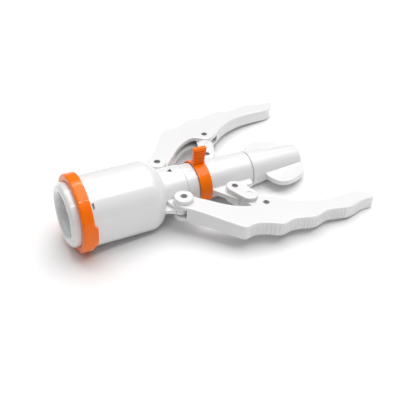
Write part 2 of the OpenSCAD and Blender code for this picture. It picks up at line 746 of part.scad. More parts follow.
module handle(side) color("white") {
  fork_gap = bracket_t + 2 * gap;
  fork_depth = knuckle_r - gap / 2;
  arm_angle = 50;
  thinning_turn = atan(handle_thinning / handle_reach);
  on_side(side) translate([pivot_x, pivot_y, 0]) difference() {
    union() {
      plate(handle_outline, handle_t);
      for (i = [0:grip_count - 1]) let (x = handle_pin_dx * 0.57 + i * grip_pitch)
        translate([x, lookup(x, handle_outer_line) - grip_r / 2, grip_r - handle_t / 2])
          cylinder(h = handle_t - 2 * grip_r, r = grip_r);
      translate([0, 0, handle_t / 2 - cut]) cylinder(h = boss_h + cut, r = boss_r);
      translate([0, 0, -handle_t / 2 - under_boss_h]) cylinder(h = under_boss_h + cut, r = boss_r);
    }
    post(0, 0, 2 * handle_t, pivot_pin_d / 2 + fit);
    post(0, 0, fork_gap, knuckle_r + 3 * gap);
    rotate([0, 0, arm_angle]) translate([fork_depth - 4 * knuckle_r, -4 * knuckle_r, -fork_gap / 2])
      cube([4 * knuckle_r, 8 * knuckle_r, fork_gap]);
    plate(slot_outline, link_slot_h);
    post(handle_pin_dx, handle_pin_dy, 2 * handle_t, link_pin_d / 2 + pin_fit);
    rotate([0, -thinning_turn, 0]) translate([boss_r, -handle_reach, -3 * handle_t / 2])
      cube([2 * handle_reach, 3 * handle_reach, handle_t]);
  }
}

module handle_left() handle(-1);

module handle_right() handle(1);

module handle_pin(side) color("dimgray") {
  on_side(side) translate([handle_pin_x, handle_pin_y, (handle_thinning - handle_t) / 2])
    cylinder(h = handle_t - handle_thinning / 2 - pin_recess, r = link_pin_d / 2);
}

module handle_pin_left() handle_pin(-1);

module handle_pin_right() handle_pin(1);

module pivot_pins() color("dimgray") {
  z0 = -handle_t / 2 - under_boss_h + pin_recess;
  z1 = handle_t / 2 + boss_h - pin_recess;
  for (y = [-pivot_y, pivot_y]) translate([pivot_x, y, z0]) cylinder(h = z1 - z0, r = pivot_pin_d / 2);
}

module safety_clip() color("darkorange") {
  outer_r = clip_r + clip_t;
  rib_h = tab_h / (2 * thumb_ribs + 1);
  rib_t = thumb_t / 8;
  difference() {
    union() {
      rod_x(clip_x0, clip_x0 + clip_w, outer_r);
      translate([clip_x0, -outer_r, -clip_leg]) cube([clip_w, 2 * outer_r, clip_leg]);
      rotate([90, 0, 0]) plate([
        [clip_x0, 0], [clip_x0 + clip_w, 0], [clip_x0 + clip_w, outer_r + tab_h / 4],
        [clip_x0 + clip_w + clip_t, outer_r + tab_h / 2],
        [clip_x0 + clip_w + clip_t, outer_r + tab_h], [clip_x0, outer_r + tab_h]], thumb_t);
      for (i = [0:thumb_ribs - 1])
        translate([clip_x0 + rib_t, -thumb_t / 2 - rib_t, outer_r + (2 * i + 1.5) * rib_h])
          cube([clip_w - rib_t, thumb_t + 2 * rib_t, rib_h]);
    }
    rod_x(clip_x0 - cut, clip_x0 + clip_w + clip_t + cut, clip_r);
    translate([clip_x0 - cut, -clip_r, -2 * outer_r])
      cube([clip_w + clip_t + 2 * cut, 2 * clip_r, 2 * outer_r]);
    translate([clip_x0 - cut, -2 * outer_r, -3 * outer_r])
      cube([clip_w + clip_t + 2 * cut, 4 * outer_r, 3 * outer_r - clip_leg]);
  }
}

bell();
anvil_ring();
cutting_washer();
bell_nut();
draw_rod();
rod_key();
front_ring();
housing();
index_mark();
staple_cartridge();
staples();
staple_pusher();
blade_holder();
ring_blade();
push_tube();
drive_keys();
return_spring();
guide_tube();
core_tube();
knob_bearing();
retainer_ring();
knob();
knob_nut();
slider_sleeve();
slider_pins();
link_left();
link_right();
handle_left();
handle_right();
handle_pin_left();
handle_pin_right();
pivot_pins();
safety_clip();
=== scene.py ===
import bpy
import bmesh
import json
import math
from mathutils import Matrix, Vector


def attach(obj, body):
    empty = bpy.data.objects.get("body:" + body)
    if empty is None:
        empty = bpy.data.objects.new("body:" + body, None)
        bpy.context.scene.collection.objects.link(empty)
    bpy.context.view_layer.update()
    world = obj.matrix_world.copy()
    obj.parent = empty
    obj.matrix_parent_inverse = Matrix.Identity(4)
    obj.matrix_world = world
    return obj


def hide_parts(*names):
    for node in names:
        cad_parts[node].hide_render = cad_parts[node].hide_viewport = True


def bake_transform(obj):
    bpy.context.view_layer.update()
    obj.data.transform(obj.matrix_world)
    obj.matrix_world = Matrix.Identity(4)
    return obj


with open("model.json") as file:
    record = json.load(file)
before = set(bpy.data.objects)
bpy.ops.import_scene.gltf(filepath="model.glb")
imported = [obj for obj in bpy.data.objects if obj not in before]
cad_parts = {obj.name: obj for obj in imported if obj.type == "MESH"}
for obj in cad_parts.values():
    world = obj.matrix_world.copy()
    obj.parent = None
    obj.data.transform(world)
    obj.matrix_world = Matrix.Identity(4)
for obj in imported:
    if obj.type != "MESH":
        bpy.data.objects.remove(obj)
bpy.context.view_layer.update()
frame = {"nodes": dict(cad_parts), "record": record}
nodes = frame["nodes"]
mm = 0.001


def say(text):
    print("stapler:", text)


def deselectAll():
    if bpy.context.object and bpy.context.object.mode != "OBJECT":
        bpy.ops.object.mode_set(mode="OBJECT")
    bpy.ops.object.select_all(action="DESELECT")


# shader maths

class Sock:
    # one output socket, so that masks and tones can be written as sums
    def __init__(self, tree, link):
        self.tree = tree
        self.link = link

    def maths(self, operation, other, swap=False):
        node = self.tree.nodes.new("ShaderNodeMath")
        node.operation = operation
        pair = (other, self) if swap else (self, other)
        for slotNumber, value in enumerate(pair):
            if isinstance(value, Sock):
                self.tree.links.new(value.link, node.inputs[slotNumber])
            else:
                node.inputs[slotNumber].default_value = value
        return Sock(self.tree, node.outputs[0])

    def __add__(self, other): return self.maths("ADD", other)
    def __radd__(self, other): return self.maths("ADD", other, True)
    def __mul__(self, other): return self.maths("MULTIPLY", other)


class Finish:
    # a material being built, with one method for every node that isn't a sum
    def __init__(self, name):
        self.material = bpy.data.materials.new(name)
        self.material.use_nodes = True
        self.tree = self.material.node_tree
        self.shader = self.tree.nodes["Principled BSDF"]
        place = self.tree.nodes.new("ShaderNodeTexCoord").outputs["Object"]
        self.place = Sock(self.tree, place)

    def fill(self, target, value):
        if isinstance(value, Sock):
            self.tree.links.new(value.link, target)
        else:
            target.default_value = value

    def node(self, kind, **sockets):
        made = self.tree.nodes.new(kind)
        for key, value in sockets.items():
            self.fill(made.inputs[key.replace("_", " ")], value)
        return Sock(self.tree, made.outputs[0])

    def feed(self, **sockets):
        for key, value in sockets.items():
            self.fill(self.shader.inputs[key.replace("_", " ")], value)

    def noise(self, scale, detail, stretch=None):
        where = self.place
        if stretch:
            where = self.node("ShaderNodeMapping", Vector=self.place, Scale=stretch)
        return self.node("ShaderNodeTexNoise", Vector=where, Scale=scale, Detail=detail)

    def blend(self, factor, first, second):
        mixed = self.tree.nodes.new("ShaderNodeMix")
        mixed.data_type = "RGBA"
        # a colour mix has its factor at 0, its colours at 6 and 7, and its colour output at 2
        self.tree.links.new(factor.link, mixed.inputs[0])
        mixed.inputs[6].default_value = (*first, 1)
        mixed.inputs[7].default_value = (*second, 1)
        return Sock(self.tree, mixed.outputs[2])

    def bump(self, height, strength, distance):
        return self.node("ShaderNodeBump", Height=height, Strength=strength, Distance=distance)


plasticLook = {"cloudScale": 60, "fineScale": 2600, "detail": 2, "roughDrop": 0.04,
               "cloudRough": 0.06, "fineRough": 0.03, "cloudHeight": 3, "depth": 0.00004,
               "coatRough": 0.04, "ior": 1.5}
metalLook = {"lineScale": 900, "lineDetail": 3, "cloudScale": 140, "detail": 2, "roughDrop": 0.06,
             "lineRough": 0.12, "strength": 0.12, "depth": 0.00003}


def plasticFinish(name, tint, shade, rough, coat, grain=0.05, gleam=0.5):
    look = plasticLook
    finish = Finish(name)
    cloud = finish.noise(look["cloudScale"], look["detail"])
    fine = finish.noise(look["fineScale"], look["detail"])
    finish.feed(Base_Color=finish.blend(cloud, tint, shade),
                Roughness=rough - look["roughDrop"] + cloud * look["cloudRough"] + fine * look["fineRough"],
                Normal=finish.bump(fine + cloud * look["cloudHeight"], grain, look["depth"]),
                Coat_Weight=coat, Coat_Roughness=look["coatRough"], IOR=look["ior"],
                Specular_IOR_Level=gleam)
    return finish.material


def metalFinish(name, tint, shade, rough, stretch):
    look = metalLook
    finish = Finish(name)
    lines = finish.noise(look["lineScale"], look["lineDetail"], stretch)
    cloud = finish.noise(look["cloudScale"], look["detail"])
    finish.feed(Base_Color=finish.blend(cloud, tint, shade), Metallic=1.0,
                Roughness=rough - look["roughDrop"] + lines * look["lineRough"],
                Normal=finish.bump(lines, look["strength"], look["depth"]))
    return finish.material


finishes = {
    "white_plastic": plasticFinish("glossWhite", (0.79, 0.79, 0.793), (0.765, 0.765, 0.768), 0.22, 0.6),
    "orange_plastic": plasticFinish("glossOrange", (1.0, 0.2, 0.0), (0.93, 0.145, 0.0), 0.3, 0.4,
                                    gleam=0.12),
    "ivory_plastic": plasticFinish("washerIvory", (0.8, 0.77, 0.66), (0.74, 0.71, 0.6), 0.5, 0.0, 0.1),
    "inner_plastic": plasticFinish("innerPlastic", (0.72, 0.72, 0.72), (0.66, 0.66, 0.67), 0.45, 0.0, 0.1),
    "grey_plastic": plasticFinish("pusherGrey", (0.42, 0.43, 0.45), (0.37, 0.38, 0.4), 0.45, 0.0, 0.1),
    "dark_ink": plasticFinish("arrowInk", (0.03, 0.03, 0.032), (0.02, 0.02, 0.022), 0.55, 0.0, 0.1),
    "steel": metalFinish("brushedSteel", (0.62, 0.62, 0.63), (0.54, 0.54, 0.55), 0.3, (0.2, 3, 3)),
    "dark_steel": metalFinish("pinSteel", (0.25, 0.25, 0.255), (0.18, 0.18, 0.185), 0.4, (2, 2, 0.2)),
    "staple_wire": metalFinish("stapleWire", (0.6, 0.6, 0.62), (0.5, 0.5, 0.52), 0.28, (1, 1, 1)),
    "aluminium": metalFinish("drawnAluminium", (0.78, 0.79, 0.8), (0.7, 0.71, 0.72), 0.3, (0.1, 3, 3)),
    "brass": metalFinish("turnedBrass", (0.72, 0.5, 0.2), (0.62, 0.42, 0.16), 0.3, (0.2, 3, 3)),
}
slotOf = {entry["node"]: entry["material_slot"] for entry in frame["record"]["subparts"]}
for cadName, slotName in slotOf.items():
    cadNode = nodes[cadName]
    cadNode.data.materials.clear()
    cadNode.data.materials.append(finishes[slotName])
say("finishes on every CAD node")


# modelling helpers

# metres: points nearer than weld are one point, and edges shorter than thin are dissolved
weld = 0.000002
thin = 0.000001
# sides of round posts and rods, and the angle in degrees over which a bevel takes an edge
wideSides, holeSides, smallSides = 96, 64, 48
plainEdge, squareEdge, postEdge = 45, 50, 40


def pick(piece):
    deselectAll()
    piece.select_set(True)
    bpy.context.view_layer.objects.active = piece


def openMesh(piece):
    pick(piece)
    bpy.ops.object.mode_set(mode="EDIT")
    bpy.ops.mesh.select_all(action="SELECT")


def strand(name, points, closed=False):
    # one vertex, pulled along the points by extrusion; points in millimetres
    deselectAll()
    bpy.ops.mesh.primitive_plane_add(size=mm, location=Vector(points[0]) * mm)
    piece = bpy.context.object
    piece.name = name
    bpy.ops.object.transform_apply(location=True, rotation=True, scale=True)
    openMesh(piece)
    bpy.ops.mesh.merge(type="CENTER")
    last = Vector(points[0])
    for point in points[1:]:
        step = (Vector(point) - last) * mm
        bpy.ops.mesh.extrude_region_move(TRANSFORM_OT_translate={"value": step})
        last = Vector(point)
    bpy.ops.mesh.select_all(action="SELECT")
    if closed:
        bpy.ops.mesh.edge_face_add()
    return piece


def closeShell():
    bpy.ops.mesh.select_all(action="SELECT")
    bpy.ops.mesh.remove_doubles(threshold=weld)
    bpy.ops.mesh.dissolve_degenerate(threshold=thin)
    bpy.ops.mesh.normals_make_consistent(inside=False)
    bpy.ops.object.mode_set(mode="OBJECT")


def turned(name, profile, steps):
    # profile: (x, r) pairs round the section, spun about the instrument's axis
    piece = strand(name, [(x, 0, r) for x, r in profile])
    mesh = bmesh.from_edit_mesh(piece.data)
    ends = [v for v in mesh.verts if len(v.link_edges) == 1]
    apart = len(ends) == 2 and (ends[0].co - ends[1].co).length > thin
    if apart and any(abs(v.co.z) >= thin / 2 for v in ends):
        mesh.edges.new(ends)
        bmesh.update_edit_mesh(piece.data)
    bpy.ops.mesh.select_all(action="SELECT")
    bpy.ops.mesh.spin(steps=steps, angle=2 * math.pi, center=(0, 0, 0), axis=(1, 0, 0))
    closeShell()
    return piece


def rod(name, start, stop, radius, steps):
    return turned(name, [(start, 0), (stop, 0), (stop, radius), (start, radius)], steps)


def post(name, x, y, z0, z1, radius, sides=holeSides, bevel=0):
    deselectAll()
    bpy.ops.mesh.primitive_cylinder_add(vertices=sides, radius=radius * mm, depth=(z1 - z0) * mm,
                                        location=Vector((x, y, (z0 + z1) / 2)) * mm)
    piece = bpy.context.object
    piece.name = name
    bpy.ops.object.transform_apply(location=True, rotation=True, scale=True)
    if bevel:
        soften(piece, bevel, angle=postEdge)
    return piece


def plate(name, outline, z0, z1):
    piece = strand(name, [(x, y, z0) for x, y in outline], closed=True)
    bpy.ops.mesh.select_all(action="SELECT")
    bpy.ops.mesh.extrude_region_move(TRANSFORM_OT_translate={"value": (0, 0, (z1 - z0) * mm)})
    closeShell()
    return piece


def block(name, low, high):
    deselectAll()
    centre = [(a + b) / 2 * mm for a, b in zip(low, high)]
    bpy.ops.mesh.primitive_cube_add(size=1, location=centre)
    piece = bpy.context.object
    piece.name = name
    piece.scale = [(b - a) * mm for a, b in zip(low, high)]
    bpy.ops.object.transform_apply(location=True, rotation=True, scale=True)
    return piece


def useModifier(piece, kind, **settings):
    pick(piece)
    modifier = piece.modifiers.new(kind.lower(), kind)
    for key, value in settings.items():
        setattr(modifier, key, value)
    bpy.ops.object.modifier_apply(modifier=modifier.name)


def soften(piece, width, segments=3, angle=plainEdge):
    useModifier(piece, "BEVEL", width=width * mm, segments=segments, limit_method="ANGLE",
                angle_limit=math.radians(angle), miter_outer="MITER_ARC", use_clamp_overlap=True)


def combine(piece, other, operation="UNION", keep=False):
    useModifier(piece, "BOOLEAN", operation=operation, object=other, solver="EXACT")
    if not keep:
        bpy.data.objects.remove(other)


def cutAway(piece, *cutters):
    for cutter in cutters:
        combine(piece, cutter, "DIFFERENCE")


def farCopy(piece, name):
    # the near side's piece, mirrored to the far side
    twin = piece.copy()
    twin.data = piece.data.copy()
    twin.name = name
    bpy.context.scene.collection.objects.link(twin)
    pick(twin)
    twin.scale = (1, -1, 1)
    bpy.ops.object.transform_apply(location=True, rotation=True, scale=True)
    openMesh(twin)
    bpy.ops.mesh.normals_make_consistent(inside=False)
    bpy.ops.object.mode_set(mode="OBJECT")
    return twin


def turnedAbout(x, y, degrees, axis="Z"):
    # moves a piece drawn at the origin to (x, y) and turns it there
    return Matrix.Translation(Vector((x, y, 0)) * mm) @ Matrix.Rotation(math.radians(degrees), 4, axis)


def dress(piece, body, node, slotName, angle=34):
    openMesh(piece)
    closeShell()
    piece.data.validate()
    bpy.ops.object.shade_smooth_by_angle(angle=math.radians(angle))
    useModifier(piece, "WEIGHTED_NORMAL", keep_sharp=True, weight=100)
    piece.data.materials.clear()
    piece.data.materials.append(finishes[slotName])
    if body:
        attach(piece, body)
    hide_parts(node)


def arc(centreX, centreR, radius, start, stop, count):
    # angles in degrees, 0 away from the axis and 90 towards the rear
    turns = [math.radians(start + (stop - start) * i / count) for i in range(count + 1)]
    return [(centreX + radius * math.sin(turn), centreR + radius * math.cos(turn)) for turn in turns]


def smoothLine(points, steps, closed=False):
    # a curve through the points, with a few steps between neighbours
    line = []
    count = len(points)
    for i in range(count if closed else count - 1):
        if closed:
            a, b, c, d = (points[(i + k) % count] for k in (-1, 0, 1, 2))
        else:
            a, b, c, d = points[max(i - 1, 0)], points[i], points[i + 1], points[min(i + 2, count - 1)]
        for k in range(steps):
            t = k / steps
            line.append(tuple(0.5 * (2 * q + (r - p) * t + (2 * p - 5 * q + 4 * r - s) * t * t
                                     + (3 * q - p - 3 * r + s) * t ** 3)
                              for p, q, r, s in zip(a, b, c, d)))
    if not closed:
        line.append(tuple(points[-1]))
    return line


# bell
bellSizes = {"outer": 19.6, "mouth": 13.4, "length": 11.4, "floor": 8.6, "lip": 3.1, "edge": 0.15,
             "grooveOuter": 18.98, "grooveInner": 10.3, "grooveFloor": 9.85, "rodBore": 2.53,
             "nutBore": 4.28, "nutFloor": 10.2, "corner": 1.2, "cornerMiddle": 0.36, "lipSteps": 28,
             "steps": 128}


def makeBell(s):
    profile = arc(s["lip"], s["outer"] - s["lip"], s["lip"], -180, 0, s["lipSteps"])
    profile += [(s["length"] - s["edge"], s["outer"]), (s["length"], s["outer"] - s["edge"]),
                (s["length"], s["grooveOuter"]), (s["grooveFloor"], s["grooveOuter"]),
                (s["grooveFloor"], s["grooveInner"]), (s["length"], s["grooveInner"]),
                (s["length"], s["rodBore"]), (s["nutFloor"], s["rodBore"]), (s["nutFloor"], s["nutBore"]),
                (s["floor"], s["nutBore"]), (s["floor"], s["mouth"] - s["corner"]),
                (s["floor"] - s["cornerMiddle"], s["mouth"] - s["cornerMiddle"]),
                (s["floor"] - s["corner"], s["mouth"])]
    bell = turned("bellShell", profile, s["steps"])
    dress(bell, "bell_body", "bell", "white_plastic", angle=40)


makeBell(bellSizes)
say("bell")

# front ring
ringSizes = {"front": 5.0, "rear": 12.0, "outer": 24.0, "bore": 19.98, "boreEdge": 0.3,
             "seat": 8.42, "seatBore": 21.36, "edge": 1.2, "rearEdge": 0.25, "tabFront": 11.0,
             "tabRear": 13.68, "tabInner": 22.1, "tabOuter": 23.8, "tabMiddle": 98, "tabAngle": 37,
             "tabEdge": 0.3, "edgeSteps": 6, "steps": 144}


def makeRing(s):
    profile = [(s["front"], s["bore"] + s["boreEdge"]), (s["front"] + s["boreEdge"], s["bore"]),
               (s["seat"], s["bore"]), (s["seat"], s["seatBore"]), (s["rear"], s["seatBore"]),
               (s["rear"], s["outer"] - s["rearEdge"]), (s["rear"] - s["rearEdge"], s["outer"])]
    profile += arc(s["front"] + s["edge"], s["outer"] - s["edge"], s["edge"], 0, -90, s["edgeSteps"])
    ring = turned("frontRing", profile, s["steps"])
    tab = turned("ringTab", [(s["tabFront"], s["tabInner"]), (s["tabRear"], s["tabInner"]),
                             (s["tabRear"], s["tabOuter"]), (s["tabFront"], s["tabOuter"])], s["steps"])
    for share, clearOuter in ((-0.5, False), (0.5, True)):
        # the tab's side wall stands square to the ring at this angle
        angle = math.radians(s["tabMiddle"] + share * s["tabAngle"])
        openMesh(tab)
        normal = (0, -math.cos(angle), -math.sin(angle))
        bpy.ops.mesh.bisect(plane_co=(0, 0, 0), plane_no=normal, use_fill=True,
                            clear_inner=not clearOuter, clear_outer=clearOuter)
        bpy.ops.object.mode_set(mode="OBJECT")
    soften(tab, s["tabEdge"], angle=squareEdge)
    combine(ring, tab)
    dress(ring, "frame_body", "front_ring", "orange_plastic", angle=30)


makeRing(ringSizes)
say("front ring")

# housing
housingSizes = {"front": 12.0, "outer": 22.0, "rear": 59.9, "edge": 0.2, "shoulder": 10.0,
                "shoulderCut": 7, "neckRoot": [(60.05, 14.15), (60.8, 13.68)], "neckFront": 61.7,
                "neck": 13.6, "neckRear": 75.6, "neckEdge": 0.35, "spigotFront": 8.5,
                "spigotBore": 19.98, "spigot": 21.28, "spigotEdge": (0.1, 0.08), "cavity": 19.4,
                "cavityStep": 0.3, "stepX": 27.58, "collarBore": 11.67, "bulkheadFront": 41.3,
                "bulkheadRear": 43.9, "bulkheadBore": 9.08, "steps": 144, "pivotX": 68.6,
                "pivotY": 19.6, "bracket": 2.6, "bracketEdge": 0.35, "shelfEdge": 0.3,
                "pinReach": 6, "pinHole": 2.03, "core": (40, 80, 12.7), "windows": 4,
                "windowLow": (13.2, -1.7, 18.3), "windowHigh": (14.4, 1.7, 23), "windowTurn": 48,
                "arrowLow": 13.2, "arrowHigh": 15, "shoulderSteps": 22, "innerSteps": 12}
bracketPlan = [(54.9, -6), (60.4, -13.6), (61.0, -16.5), (62.1, -19.6), (62.9, -22.3),
               (64.6, -24.0), (67.2, -24.6), (69.6, -24.7), (71.8, -23.7), (73.3, -21.8),
               (73.7, -19.2), (73.4, -17.6), (72.2, -12.3), (72.2, -6)]
shelfPlan = [(54.9, -6), (56.9, -18.9), (57.4, -19.3), (62.8, -21.6), (64.2, -23.2), (68.6, -19.6),
             (68.6, -6)]
arrowPlan = [(65.93, 0), (69.13, 1.6), (69.13, -1.6)]


def makeHousing(s):
    turnX = s["rear"] - s["shoulder"]
    turnR = s["outer"] - s["shoulder"]
    innerTurn = s["cavity"] - s["cavityStep"] - turnR
    outerFinish, innerFinish = (math.degrees(math.acos((s["neck"] - turnR) / radius))
                                for radius in (s["shoulder"], innerTurn))
    edgeX, edgeR = s["spigotEdge"]
    profile = [(s["spigotFront"], s["spigotBore"]), (s["spigotFront"], s["spigot"] - edgeR),
               (s["spigotFront"] + edgeX, s["spigot"]), (s["front"], s["spigot"]),
               (s["front"], s["outer"] - s["edge"]), (s["front"] + s["edge"], s["outer"])]
    profile += arc(turnX, turnR, s["shoulder"], 0, outerFinish - s["shoulderCut"], s["shoulderSteps"])
    profile += s["neckRoot"]
    profile += [(s["neckFront"], s["neck"]), (s["neckRear"] - s["neckEdge"], s["neck"]),
                (s["neckRear"], s["neck"] - s["neckEdge"]), (s["neckRear"], s["collarBore"]),
                (s["bulkheadRear"], s["collarBore"]), (s["bulkheadRear"], s["bulkheadBore"]),
                (s["bulkheadFront"], s["bulkheadBore"]), (s["bulkheadFront"], s["neck"])]
    profile += arc(turnX, turnR, innerTurn, innerFinish, 0, s["innerSteps"])
    profile += [(s["stepX"], s["cavity"] - s["cavityStep"]), (s["stepX"], s["cavity"]),
                (s["front"], s["cavity"]), (s["front"], s["spigotBore"])]
    shell = turned("housingShell", profile, s["steps"])
    bracket = plate("bracketTop", bracketPlan, -s["bracket"], s["bracket"])
    soften(bracket, s["bracketEdge"], angle=squareEdge)
    shelf = plate("bracketShelf", shelfPlan, -s["bracket"], 0)
    soften(shelf, s["shelfEdge"], angle=squareEdge)
    core = rod("neckCore", *s["core"], wideSides)
    for part in (bracket, shelf):
        combine(part, core, "DIFFERENCE", keep=True)
        twin = farCopy(part, part.name + "Far")
        combine(shell, part)
        combine(shell, twin)
    bpy.data.objects.remove(core)
    for k in range(s["windows"]):
        window = block("window", s["windowLow"], s["windowHigh"])
        window.data.transform(turnedAbout(0, 0, s["windowTurn"] + 360 / s["windows"] * k, "X"))
        cutAway(shell, window)
    mark = plate("arrowPocket", arrowPlan, s["arrowLow"], s["arrowHigh"])
    holes = [post("pinHole", s["pivotX"], side * s["pivotY"], -s["pinReach"], s["pinReach"], s["pinHole"])
             for side in (-1, 1)]
    cutAway(shell, mark, *holes)
    dress(shell, "frame_body", "housing", "white_plastic")


makeHousing(housingSizes)
say("housing")

# handles: the plans give x and y from the pivot, before they are scaled
handleSizes = {"pivotX": 68.6, "pivotY": 19.6, "scale": 1.088, "top": 5.0, "under": -5.0,
               "tipUnder": -3.3, "taperFront": 74.5, "taperRun": 102, "edge": 1.1, "boss": 5.8,
               "bossTop": 7.8, "bossUnder": -6.8, "bossRoot": 1, "bossEdge": 0.7, "underEdge": 0.6,
               "ribs": 30, "ribStart": 25.3, "ribPitch": 2.1, "ribRadius": 0.8, "ribSides": 24,
               "ribFoot": 0.8, "ribTop": 3.4, "ribEdge": 0.45, "fork": 6.1, "forkHalf": 3.2,
               "forkBack": 20.8, "forkFront": 5.05, "forkTurn": -50, "slotHalf": 2.3,
               "pivotHole": 2.08, "pinX": 113, "pinY": 41, "pinHole": 1.93, "through": 12}
handleInner = [(-5.6, -1), (-4, -4), (0, -5.4), (4.2, -4.3), (8.4, 1), (13.2, 5.6), (16.4, 9.1),
               (20.6, 12.9), (25.2, 16), (28.9, 17.9), (32.6, 18.5), (35.8, 16.6), (38.6, 14.4),
               (42.2, 14.1), (45.4, 15.8), (49.4, 18.8), (54, 22.4), (58.6, 25.2), (63.4, 27.3),
               (69.4, 29.1), (75.3, 30), (82.2, 30.3), (89.4, 30.2), (93.3, 30.4), (96.2, 31.8),
               (98.4, 34.2)]
handleOuter = [(-4.2, 4.8), (-0.2, 8.8), (3.6, 13.2), (8.6, 19.7), (13.2, 26.1), (18.8, 33),
               (21.2, 34.3), (24.7, 33.6), (28.4, 33.8), (33.1, 35.7), (37.1, 38.2), (40.3, 39.4),
               (43.6, 38.9), (47.3, 38.3), (53.2, 39.5), (58.5, 41.1), (62, 40.8), (66.1, 39.6),
               (69.8, 39.2), (75.8, 40.5), (81.2, 41.7), (86, 41), (90, 39.9), (94.2, 39.4),
               (98.8, 39.7), (100, 37.4)]
slotPlan = [(14.2, 4.6), (17.2, 14.4), (22, 22), (31, 27), (40, 28.2), (46.5, 26.4), (49.4, 21),
            (50.4, 13), (40, 8), (26, 6)]


def handlePlan(plan, s):
    return [(s["pivotX"] + x * s["scale"], -s["pivotY"] - y * s["scale"]) for x, y in plan]


def lineY(x, line):
    for (x0, y0), (x1, y1) in zip(line, line[1:]):
        if x0 <= x <= x1:
            return y0 + (y1 - y0) * (x - x0) / (x1 - x0)
    return line[-1][1]


def makeRibs(s, slope):
    outerLine = smoothLine(handlePlan(handleOuter, s), 6)
    ribs = []
    for k in range(s["ribs"]):
        x = s["pivotX"] + s["ribStart"] + k * s["ribPitch"]
        y = lineY(x, outerLine) + s["ribRadius"] / 2
        low = s["under"] + (x - s["taperFront"]) * math.tan(slope) + s["ribFoot"]
        ribs.append(post("gripRib", x, y, low, s["ribTop"], s["ribRadius"], s["ribSides"], s["ribEdge"]))
    pick(ribs[0])
    for rib in ribs:
        rib.select_set(True)
    bpy.ops.object.join()
    return ribs[0]


def makeHandles(s):
    x, y, out = s["pivotX"], -s["pivotY"], s["through"]
    outline = smoothLine(handlePlan(handleInner + handleOuter[::-1], s), 4, closed=True)
    body = plate("leftHandle", outline, s["under"], s["top"])
    # the underside rises towards the tip, cut by a block that reaches past the handle on its other sides
    lower = block("taperCut", (s["taperFront"], -100, -20), (200, 10, s["under"]))
    slope = math.atan((s["tipUnder"] - s["under"]) / s["taperRun"])
    corner = Matrix.Translation(Vector((s["taperFront"], 0, s["under"])) * mm)
    lower.data.transform(corner @ Matrix.Rotation(-slope, 4, "Y") @ corner.inverted())
    cutAway(body, lower)
    soften(body, s["edge"], 4)
    combine(body, makeRibs(s, slope))
    for name, low, high, edge in (
            ("pivotBoss", s["top"] - s["bossRoot"], s["bossTop"], s["bossEdge"]),
            ("pivotUnder", s["bossUnder"], s["under"] + s["bossRoot"], s["underEdge"])):
        combine(body, post(name, x, y, low, high, s["boss"], wideSides, edge))
    fork = post("forkRound", x, y, -s["forkHalf"], s["forkHalf"], s["fork"], wideSides)
    back = block("forkBack", (-s["forkBack"], -s["forkBack"], -s["forkHalf"]),
                 (s["forkFront"], s["forkBack"], s["forkHalf"]))
    back.data.transform(turnedAbout(x, y, s["forkTurn"]))
    slot = plate("linkSlot", handlePlan(slotPlan, s), -s["slotHalf"], s["slotHalf"])
    pivot = post("pivotHole", x, y, -out, out, s["pivotHole"])
    pin = post("pinHole", s["pinX"], -s["pinY"], -out, out, s["pinHole"])
    cutAway(body, fork, back, slot, pivot, pin)
    twin = farCopy(body, "rightHandle")
    dress(body, "left_handle_body", "handle_left", "white_plastic", angle=38)
    dress(twin, "right_handle_body", "handle_right", "white_plastic", angle=38)


makeHandles(handleSizes)
say("handles")

# guide tube with its collar
guideSizes = {"spigotStart": 70.92, "collarStart": 75.9, "collarEnd": 83.4, "end": 121.8,
              "bore": 9.08, "spigot": 11.637, "collar": 12.9, "collarEdge": 0.3, "leadX": 0.1,
              "leadR": 0.08, "leadEnd": 0.35, "tube": 10.8, "tubeEdge": 0.2, "slotStart": 88.15,
              "slotEnd": 99.45, "slotHalf": 1.58, "slotIn": 8.08, "slotOut": 19, "steps": 128}


def makeGuide(s):
    profile = [(s["spigotStart"], s["bore"]), (s["spigotStart"], s["spigot"]),
               (s["collarStart"], s["spigot"]), (s["collarStart"], s["collar"] - s["collarEdge"]),
               (s["collarStart"] + s["leadX"], s["collar"] - s["leadR"]),
               (s["collarStart"] + s["leadEnd"], s["collar"]),
               (s["collarEnd"] - s["collarEdge"], s["collar"]),
               (s["collarEnd"], s["collar"] - s["collarEdge"]), (s["collarEnd"], s["tube"]),
               (s["end"] - s["tubeEdge"], s["tube"]), (s["end"], s["tube"] - s["tubeEdge"]),
               (s["end"], s["bore"])]
    guide = turned("guideTube", profile, s["steps"])
    for low, high in ((s["slotIn"], s["slotOut"]), (-s["slotOut"], -s["slotIn"])):
        cutAway(guide, block("keySlot", (s["slotStart"], -s["slotHalf"], low),
                             (s["slotEnd"], s["slotHalf"], high)))
    dress(guide, "frame_body", "guide_tube", "white_plastic")


makeGuide(guideSizes)
say("guide tube")

# sliding sleeve with its fins
sleeveSizes = {"start": 91.25, "end": 121.65, "front": 12.6, "rear": 11.9, "bore": 10.88,
               "edge": 0.25, "fin": 1.6, "finEdge": 0.35, "reach": 9.8,
               "finFront": [(91.4, -10.9), (91.4, -13.65)],
               "finRear": [(117.95, -17.05), (118.85, -11.95), (118.85, -10.9)],
               "core": (80, 130, 11.28), "pinX": 103.65, "pinY": 19.0, "pinHole": 1.93,
               "pinReach": 9, "keyX": 97.65, "keyHole": 1.53, "keyEnd": 11.6, "steps": 128}


